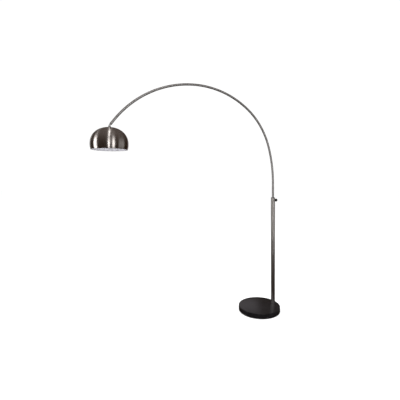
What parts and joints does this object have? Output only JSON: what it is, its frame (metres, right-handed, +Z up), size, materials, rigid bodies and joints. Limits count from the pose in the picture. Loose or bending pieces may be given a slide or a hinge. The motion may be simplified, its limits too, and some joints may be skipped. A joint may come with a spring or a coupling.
{
  "type": "arc floor lamp",
  "caption": "Floor lamp with a round stone base, an upright steel pole, a long curved tube that lifts and swings in it, and a tilting metal dome shade.",
  "frame": {"origin": "centre of the base's underside, on the floor", "axes": "+Z up, -X from the pole towards the shade, the arc lying in the XZ plane"},
  "size_m": [1.6852, 0.385, 2.0629],
  "materials": {
    "stone": "honed",
    "brushed_steel": "satin",
    "shade_metal": "brushed and nickel plated outside, white inside",
    "black_plastic": "matte",
    "rubber": "matte",
    "zinc": "zinc plated",
    "brass": "plain",
    "lead_sheath": "matte",
    "bulb_glass": "frosted white"
  },
  "bodies": {
    "stand": {"base_slab": "stone", "base_pad": "rubber", "pole_bolt": "zinc", "pole_bolt_washer": "zinc", "pole_bolt_lock_washer": "zinc", "pole_foot_plug": "zinc", "pole_tube": "brushed_steel", "pole_top_bush": "black_plastic", "clamp_insert": "brass", "lead_grommet": "rubber", "pole_lead": "lead_sheath"},
    "clamp_pad": {"clamp_pad": "black_plastic"},
    "clamp_knob": {"clamp_knob": "black_plastic", "clamp_stud": "zinc"},
    "arm_slider": {"glide_sleeve": "black_plastic"},
    "arm": {"lower_arc_tube": "brushed_steel", "middle_arc_tube": "brushed_steel", "end_arc_tube": "brushed_steel", "lower_spigot": "zinc", "upper_spigot": "zinc", "lower_spigot_screw": "zinc", "upper_spigot_screw": "zinc", "leg_clip_upper": "zinc", "leg_clip_lower": "zinc", "arm_lead": "lead_sheath", "arc_end_plug": "brushed_steel"},
    "shade_head": {"knuckle_fork": "brushed_steel", "knuckle_screw": "zinc", "knuckle_nut": "zinc", "shade_nipple": "zinc", "shade_washer_outer": "zinc", "shade_washer_inner": "zinc", "nipple_nut": "brass", "shade": "shade_metal", "holder_cap": "black_plastic", "holder_body": "black_plastic", "holder_contact": "brass", "holder_ring": "black_plastic", "bulb_cap": "zinc", "bulb_globe": "bulb_glass", "head_lead": "lead_sheath"}
  },
  "joints": [
    {"name": "clamp_travel", "type": "slide", "parent": "stand", "child": "clamp_pad", "axis": [1, 0, 0], "range_m": [0, 0.002]},
    {"name": "clamp_knob_turn", "type": "hinge", "parent": "clamp_pad", "child": "clamp_knob", "pos_m": [0.154, 0, 1.0325], "axis": [1, 0, 0], "range_deg": [0, 720]},
    {"name": "height_slide", "type": "slide", "parent": "stand", "child": "arm_slider", "axis": [0, 0, 1], "range_m": [-0.12, 0]},
    {"name": "arm_swing", "type": "hinge", "parent": "arm_slider", "child": "arm", "pos_m": [0.154, 0, 1], "axis": [0, 0, 1], "range_deg": [-90, 90]},
    {"name": "shade_tilt", "type": "hinge", "parent": "arm", "child": "shade_head", "pos_m": [-1.34521, 0, 1.65589], "axis": [0, 1, 0], "range_deg": [-35, 35]}
  ],
  "couplings": [
    {"joint": "clamp_knob_turn", "follows": "clamp_travel", "rad_per_m": 6283.2}
  ]
}
